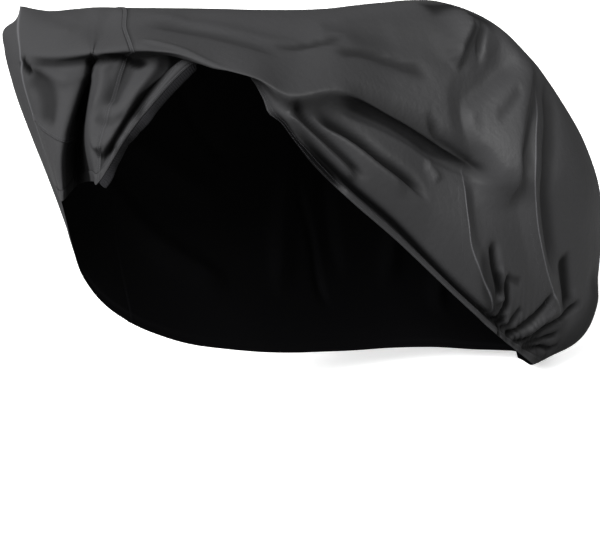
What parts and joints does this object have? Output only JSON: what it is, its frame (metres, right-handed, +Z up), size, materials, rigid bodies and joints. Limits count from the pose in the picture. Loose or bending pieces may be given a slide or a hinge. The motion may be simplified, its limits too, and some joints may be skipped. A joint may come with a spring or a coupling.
{
  "type": "bicycle cover",
  "caption": "Fitted all-weather cover for parked bicycles: a hollow draped sheet with an elastic front hem, pulled back from the front.",
  "frame": {"origin": "the point on the inner face of the top, near the middle of the ridge, where what is covered holds the cover up", "axes": "+X towards the rear of the covered bicycles, +Y towards the far side, +Z up"},
  "size_m": [1.8012, 0.776, 1.0812],
  "materials": {
    "cover_cloth": "black coated woven cloth with a soft satin sheen",
    "elastic": "matt black ribbed elastic"
  },
  "bodies": {
    "root": {"main_cloth": "cover_cloth", "front_cloth": "cover_cloth", "lower_front_cloth": "cover_cloth", "elastic_band": "elastic"}
  },
  "joints": []
}
